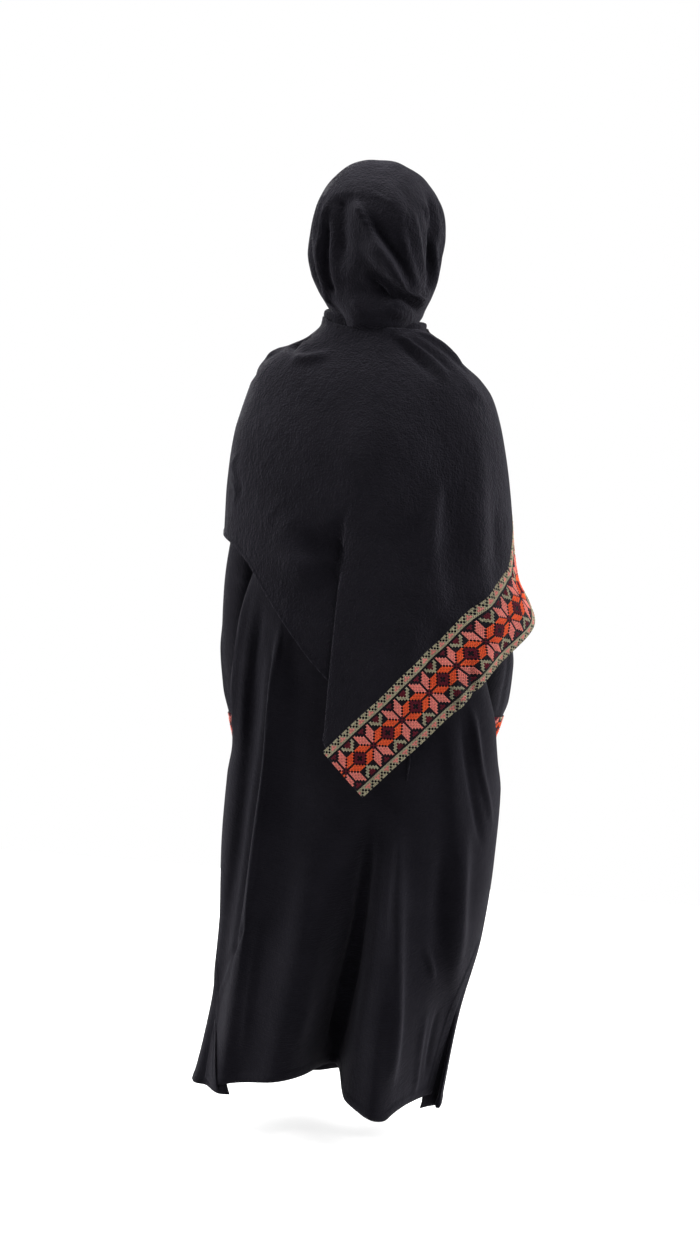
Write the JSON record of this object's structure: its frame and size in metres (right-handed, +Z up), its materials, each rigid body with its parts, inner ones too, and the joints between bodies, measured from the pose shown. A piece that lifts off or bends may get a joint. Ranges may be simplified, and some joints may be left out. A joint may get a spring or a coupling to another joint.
{
  "type": "prayer abaya with head scarf",
  "caption": "Floor-length loose black prayer gown with wide sleeves and a long scarf wound over head, neck and back, with cross-stitch bands on cuffs and scarf end.",
  "frame": {"origin": "the middle of the wearer's shoulders at the height of the nape, where the garment hangs from its wearer", "axes": "+Z up along the wearer, the wearer faces -Y, and the wearer's left is +X"},
  "size_m": [0.5449, 0.3663, 1.59],
  "materials": {
    "gown_cloth": "matte black crepe with fine cross slubs",
    "scarf_cloth": "matte black pebbled crepe",
    "cross_stitch": "black cloth covered with salmon, orange, maroon and olive cross-stitch"
  },
  "bodies": {
    "root": {"dress_back": "gown_cloth", "dress_front": "gown_cloth", "neck_band": "gown_cloth", "sleeve_left": "gown_cloth", "sleeve_right": "gown_cloth", "cuff_left": "cross_stitch", "cuff_right": "cross_stitch", "scarf_hood": "scarf_cloth", "scarf_neck": "scarf_cloth", "scarf_front": "scarf_cloth", "scarf_back": "scarf_cloth", "scarf_band": "cross_stitch"}
  },
  "joints": []
}
